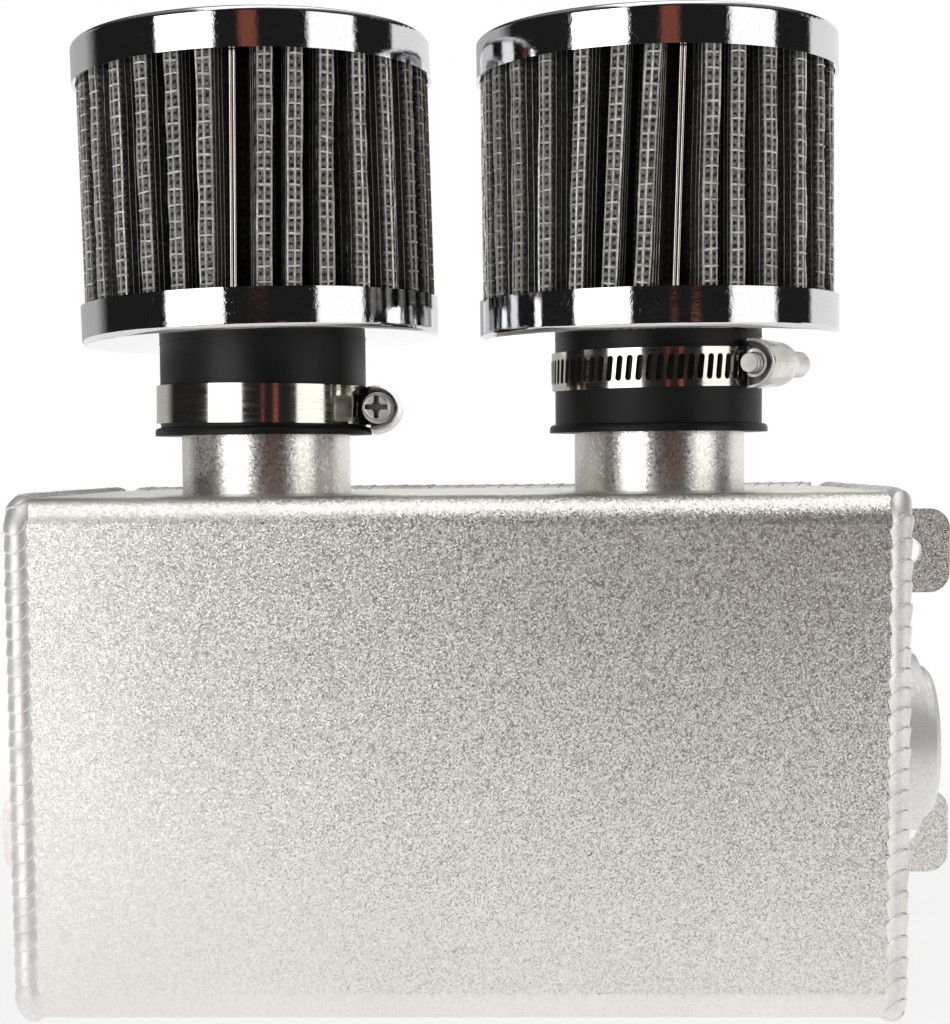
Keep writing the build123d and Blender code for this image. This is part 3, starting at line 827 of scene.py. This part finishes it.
def addRearBeads(s):
    for level, seed in (("top", 7.1), ("bottom", 9.4)):
        sign = 1 if level == "top" else -1
        y, z = s["rear"] - s["inset"], s["levels"][level] - sign * s["inset"]
        pivots = [(-sign * s["half"], 0), (sign * s["half"], 0)]
        stations, total = seamStations(pivots, 0, s["step"], False, lambda a, b: Vector((a, y, z + b)))
        name = "rear" + level.capitalize() + "Bead"
        rollBead(name, stations, total, Vector((0, 1, 0)), {**s, "seed": seed}, ("rear_" + level + "_weld",))


addRearBeads(rearBead)

tabBead = {
    "innerEdge": 67.5 * mm,
    "start": 80.6 * mm,
    "rear": 49 * mm,
    "half": 10 * mm,
    "levels": {"upper": 87.2506 * mm, "lower": 19.7494 * mm},
    "radius": 1.8 * mm,
    "section": (-14, 104),
    "sectionSteps": 9,
    "step": 0.1 * mm,
    "pitch": 2.2 * mm,
    "crescent": 0.9 * mm,
    "apex": 0.0,
    "dip": 0.2 * mm,
    "swell": 0.06 * mm,
    "drift": 0.2 * mm,
    "closed": False,
    "flare": 0.0,
}


def addTabBeads(s):
    beads = []
    for level, height in s["levels"].items():
        for side, sign in (("Left", -1), ("Right", 1)):
            far, near = sign * s["start"], sign * s["innerEdge"]
            first, last = height - sign * s["half"], height + sign * s["half"]
            pivots = [(far, first), (near, first), (near, last), (far, last)]
            stations, total = seamStations(pivots, 0, s["step"], False, lambda a, b: Vector((a, s["rear"], b)))
            look = {**s, "seed": height * 40 + sign}
            replaced = () if beads else ("tab_welds",)
            beads.append(rollBead(level + side + "TabBead", stations, total, Vector((0, 1, 0)), look, replaced))


addTabBeads(tabBead)
print("weld beads rolled")

# sizes of a filter, with heights counted from the bottom of its rubber neck
pleats = {
    "count": 30,
    "crestRadius": 36.7 * mm,
    "crestHalf": 1.45 * mm,
    "crestDrop": 0.3 * mm,
    "crestSpots": (-1.45, -1.2, -0.7, 0, 0.7, 1.2, 1.45),  # mm from a crest's middle
    "flank": 9.2 * mm,
    "valleyRadius": 28.4 * mm,
    "valleyHalf": 0.4 * mm,
    "clipHalf": 1.05 * mm,
    "clipGap": 18.5,
    "bottom": 23.8 * mm,
    "top": 78.4 * mm,
    "sheet": 0.45 * mm,
    "rows": 12,
    "sway": 0.35,  # degrees that a crest wanders on its way up
}
filters = {
    "left": {
        "seat": (-42 * mm, -1 * mm, 115.2 * mm),
        "leanRight": -1.45,
        "leanBack": 0.7,
        "clip": -89.75,
        "twist": (-75, 30, 0.065),  # where the folds turn most, how widely, and degrees per mm of height
        "seed": 2.0,
        "nudges": {  # degrees that crests stand off even spacing, counted from the clip
            0: 0.5, 1: -2.0, 2: -3.3, 3: -2.8, 4: -2.4, 5: -0.6, 6: -1.9, 7: -0.8,
            23: 0.3, 24: 1.4, 25: 1.6, 26: 2.8, 27: 2.8, 28: 2.3, 29: 0.7,
        },
    },
    "right": {
        "seat": (42 * mm, -1 * mm, 115.2 * mm),
        "leanRight": -0.4,
        "leanBack": -0.35,
        "clip": -86.75,
        "twist": (-102, 25, 0.09),
        "seed": 5.0,
        "nudges": {
            0: 0.7, 1: -2.5, 2: -2.1, 3: 0.0, 4: 2.1, 5: 3.9, 6: 2.5, 7: 1.0,
            23: 0.2, 24: -1.6, 25: -0.9, 26: 0.3, 27: 1.3, 28: 1.0, 29: -0.5,
        },
    },
}


def seatOf(s):
    back = Matrix.Rotation(math.radians(-s["leanBack"]), 4, "X")
    right = Matrix.Rotation(math.radians(s["leanRight"]), 4, "Y")
    return Matrix.Translation(s["seat"]) @ (back @ right)


def twistAt(s, angle, height):
    centre, spread, rate = s["twist"]
    off = (angle - centre + 180) % 360 - 180
    middle = (pleats["bottom"] + pleats["top"]) / 2
    return rate * (height - middle) / mm * math.exp(-((off / spread) ** 2))


def crestAngle(s, number, height):
    pitch = (360 - pleats["clipGap"]) / (pleats["count"] - 1)
    index = number % pleats["count"]
    turns = number // pleats["count"]
    loose = 0.8 * noise.noise(Vector((index * 5.3, s["seed"], 0.7)))
    wander = pleats["sway"] * noise.noise(Vector((index * 2.9, s["seed"], height / (30 * mm))))
    angle = s["clip"] + pleats["clipGap"] / 2 + index * pitch + s["nudges"].get(index, loose)
    return math.radians(angle + wander + twistAt(s, angle, height)) + 2 * math.pi * turns


def ray(angle):
    return Vector((math.cos(angle), math.sin(angle)))


# the point on a filter's folded sheet at a distance along from a crest's middle, lifted off the sheet
def pleatPoint(s, number, along, height, lift=0.0):
    middle = crestAngle(s, number, height)
    out = ray(middle)
    beside = Vector((-out.y, out.x))
    side = 1 if along > 0 else -1
    edge = out * (pleats["crestRadius"] - pleats["crestDrop"]) + beside * side * pleats["crestHalf"]
    if abs(along) <= pleats["crestHalf"]:
        drop = pleats["crestDrop"] * (abs(along) / pleats["crestHalf"]) ** 4
        return out * (pleats["crestRadius"] - drop + lift) + beside * along
    fold = ray((middle + crestAngle(s, number + side, height)) / 2)
    atClip = (number + side) // pleats["count"] != number // pleats["count"]
    half = pleats["clipHalf"] if atClip else pleats["valleyHalf"]
    valley = fold * pleats["valleyRadius"] - Vector((-fold.y, fold.x)) * side * half
    flank = valley - edge
    normal = Vector((flank.y, -flank.x)).normalized() * -side
    return edge + flank * min((abs(along) - pleats["crestHalf"]) / flank.length, 1.0) + normal * lift


# one folded sheet per filter: a circle drawn onto the folds, then pulled up and given a thickness
def addMedia(side, s):
    reach = pleats["crestHalf"] + pleats["flank"]
    spots = [-reach, *(spot * mm for spot in pleats["crestSpots"]), reach]
    bm = bmesh.new()
    alongLayer = bm.verts.layers.float.new("alongPleat")
    numberLayer = bm.verts.layers.int.new("pleatNumber")
    made = bmesh.ops.create_circle(bm, segments=pleats["count"] * len(spots), radius=pleats["crestRadius"])
    for index, vert in enumerate(made["verts"]):
        vert[alongLayer] = spots[index % len(spots)]
        vert[numberLayer] = index // len(spots)
        vert.co.z = pleats["bottom"]
    lifted = bmesh.ops.extrude_edge_only(bm, edges=bm.edges[:])["geom"]
    raised = [part for part in lifted if isinstance(part, bmesh.types.BMVert)]
    bmesh.ops.translate(bm, verts=raised, vec=(0, 0, pleats["top"] - pleats["bottom"]))
    upright = [edge for edge in bm.edges if abs(edge.verts[0].co.z - edge.verts[1].co.z) > mm]
    bmesh.ops.subdivide_edges(bm, edges=upright, cuts=pleats["rows"] - 1, use_grid_fill=True)
    for vert in bm.verts:
        flat = pleatPoint(s, vert[numberLayer], vert[alongLayer], vert.co.z)
        vert.co.x, vert.co.y = flat
    bmesh.ops.recalc_face_normals(bm, faces=bm.faces)
    crest = next(face for face in bm.faces if all(abs(v[alongLayer]) < pleats["crestHalf"] for v in face.verts))
    if crest.normal.xy.dot(crest.calc_center_median().xy) < 0:
        bmesh.ops.reverse_faces(bm, faces=bm.faces)
    bm.transform(seatOf(s))
    piece = keepPiece(bm, side + "PleatedMedia", "can", "gauze", (side + "_filter_media",), 50)
    wall = piece.modifiers.new("wall", "SOLIDIFY")
    wall.thickness = pleats["sheet"]
    wall.offset = -1.0


wires = {
    "radius": 0.22 * mm,
    "lift": 0.16 * mm,
    "rungPitch": 3.15 * mm,
    "uprights": (-5.6, -4.2, -2.85, -1.45, 0.0, 1.45, 2.85, 4.2, 5.6),  # mm along the sheet from a crest
    "rungSpots": (-1.9, -1.45, -0.75, 0.0, 0.75, 1.45, 1.9),
    "rungThin": 0.95,
    "rows": 10,
    "jitter": 0.12 * mm,
}


# stiff wire mesh over the folds, as upright wires and the rungs that cross them
def addWires(side, s):
    curve = bpy.data.curves.new(side + "Wires", "CURVE")
    curve.dimensions = "3D"
    curve.bevel_depth = wires["radius"]
    curve.bevel_resolution = 0
    curve.use_fill_caps = True
    seat = seatOf(s)

    def thread(points, size=1.0):
        spline = curve.splines.new("POLY")
        spline.points.add(len(points) - 1)
        for point, place in zip(spline.points, points):
            point.co = (*(seat @ Vector(place)), 1.0)
            point.radius = size

    low, high = pleats["bottom"], pleats["top"]
    rungs = int((high - low) / wires["rungPitch"])
    for number in range(pleats["count"]):
        for spot in wires["uprights"]:
            points = []
            for row in range(wires["rows"] + 1):
                height = low + (high - low) * row / wires["rows"]
                shift = wires["jitter"] * noise.noise(Vector((number * 3.1 + spot, height / (4 * mm), s["seed"])))
                points.append((*pleatPoint(s, number, spot * mm + shift, height, wires["lift"]), height))
            thread(points)
        for rung in range(rungs):
            level = low + wires["rungPitch"] * (rung + 0.6)
            points = []
            for spot in wires["rungSpots"]:
                shift = 4 * wires["jitter"] * noise.noise(Vector((number * 1.7, rung * 2.3 + spot / 5, s["seed"])))
                points.append((*pleatPoint(s, number, spot * mm, level + shift, wires["lift"]), level + shift))
            thread(points, wires["rungThin"])
    drawn = bpy.data.objects.new(side + "WireLines", curve)
    scene.collection.objects.link(drawn)
    bpy.context.view_layer.update()
    mesh = bpy.data.meshes.new_from_object(drawn.evaluated_get(bpy.context.evaluated_depsgraph_get()))
    bpy.data.objects.remove(drawn)
    bm = bmesh.new()
    bm.from_mesh(mesh)
    bpy.data.meshes.remove(mesh)
    bmesh.ops.recalc_face_normals(bm, faces=bm.faces)
    keepPiece(bm, side + "WireMesh", "can", "wire", (), 80)


seamFold = {
    "inner": 28.6 * mm,
    "outer": 36.5 * mm,
    "width": 1.3 * mm,
    "slit": 0.28 * mm,
    "slitDepth": 0.9 * mm,
    "round": 0.2 * mm,
}


# the clip is a strip folded double, so a slit shows between its two layers
def addSeamFold(side, own, s):
    half, slit = s["width"] / 2, s["slit"] / 2
    outline = [
        (s["inner"], -half),
        (s["outer"], -half),
        (s["outer"], -slit),
        (s["outer"] - s["slitDepth"], -slit),
        (s["outer"] - s["slitDepth"], slit),
        (s["outer"], slit),
        (s["outer"], half),
        (s["inner"], half),
    ]
    bm = bmesh.new()
    face = bm.faces.new([bm.verts.new((x, y, pleats["bottom"])) for x, y in outline])
    grown = bmesh.ops.extrude_face_region(bm, geom=[face])["geom"]
    raised = [part for part in grown if isinstance(part, bmesh.types.BMVert)]
    bmesh.ops.translate(bm, verts=raised, vec=(0, 0, pleats["top"] - pleats["bottom"]))
    upright = [edge for edge in bm.edges if abs(edge.verts[0].co.z - edge.verts[1].co.z) > mm]
    tips = [edge for edge in upright if all(abs(v.co.x - s["outer"]) < 1e-7 for v in edge.verts)]
    bmesh.ops.bevel(
        bm,
        geom=tips,
        offset=s["round"],
        offset_type="OFFSET",
        segments=3,
        profile=0.5,
        affect="EDGES",
        material=-1,
    )
    bmesh.ops.recalc_face_normals(bm, faces=bm.faces)
    for vert in bm.verts:
        turn = math.radians(own["clip"] + twistAt(own, own["clip"], vert.co.z))
        vert.co = Matrix.Rotation(turn, 3, "Z") @ vert.co
    bm.transform(seatOf(own))
    keepPiece(bm, side + "SeamFold", "can", "steel", (side + "_seam_clip",), 40)


for side, own in filters.items():
    addMedia(side, own)
    addWires(side, own)
    addSeamFold(side, own, seamFold)
print("filters pleated and wired")


# a thread ridge wound round an axis from one end
def windThread(name, body, finish, slot, s, start, axis, beside):
    bm = bmesh.new()
    outline = [(-s["half"], s["root"]), (0.0, s["crest"]), (s["half"], s["root"])]
    verts = [bm.verts.new(start + axis * along + beside * radius) for along, radius in outline]
    edges = [bm.edges.new((verts[i], verts[(i + 1) % 3])) for i in range(3)]
    steps = round(s["turns"] * s["stepsPerTurn"])
    bmesh.ops.spin(
        bm,
        geom=verts + edges,
        cent=start,
        axis=axis,
        dvec=axis * s["pitch"] / s["stepsPerTurn"],
        angle=2 * math.pi * s["turns"],
        steps=steps,
        use_merge=False,
        use_duplicate=False,
    )
    closeSkin(bm)
    keepPiece(bm, name, body, finish, (), 35)


portThread = {
    "start": Vector((84.0, -1.0, 48.6)) * mm,
    "axis": Vector((1, 0, 0)),
    "beside": Vector((0, 0, 1)),
    "pitch": 1.5 * mm,
    "turns": 9.4,
    "stepsPerTurn": 48,
    "half": 0.62 * mm,
    "root": 10.56 * mm,
    "crest": 9.95 * mm,
}
portRun = [portThread[key] for key in ("start", "axis", "beside")]
windThread("portThread", "can", "turned", "blasted_aluminium", portThread, *portRun)

wormThread = {
    "from": -8.0 * mm,
    "pitch": 1.35 * mm,
    "turns": 9.7,
    "stepsPerTurn": 20,
    "half": 0.45 * mm,
    "root": 1.86 * mm,
    "crest": 2.16 * mm,
}


def addWormThreads(s):
    for side, joint in clampJoints.items():
        axis = Vector(joint["axis"]).normalized()
        start = Vector(joint["pos_m"]) + axis * s["from"]
        beside = axis.cross(Vector((0, 0, 1))).normalized()
        windThread(side + "WormThread", joint["child"], side + "Zinc", "clamp_steel", s, start, axis, beside)


addWormThreads(wormThread)
print("threads wound")
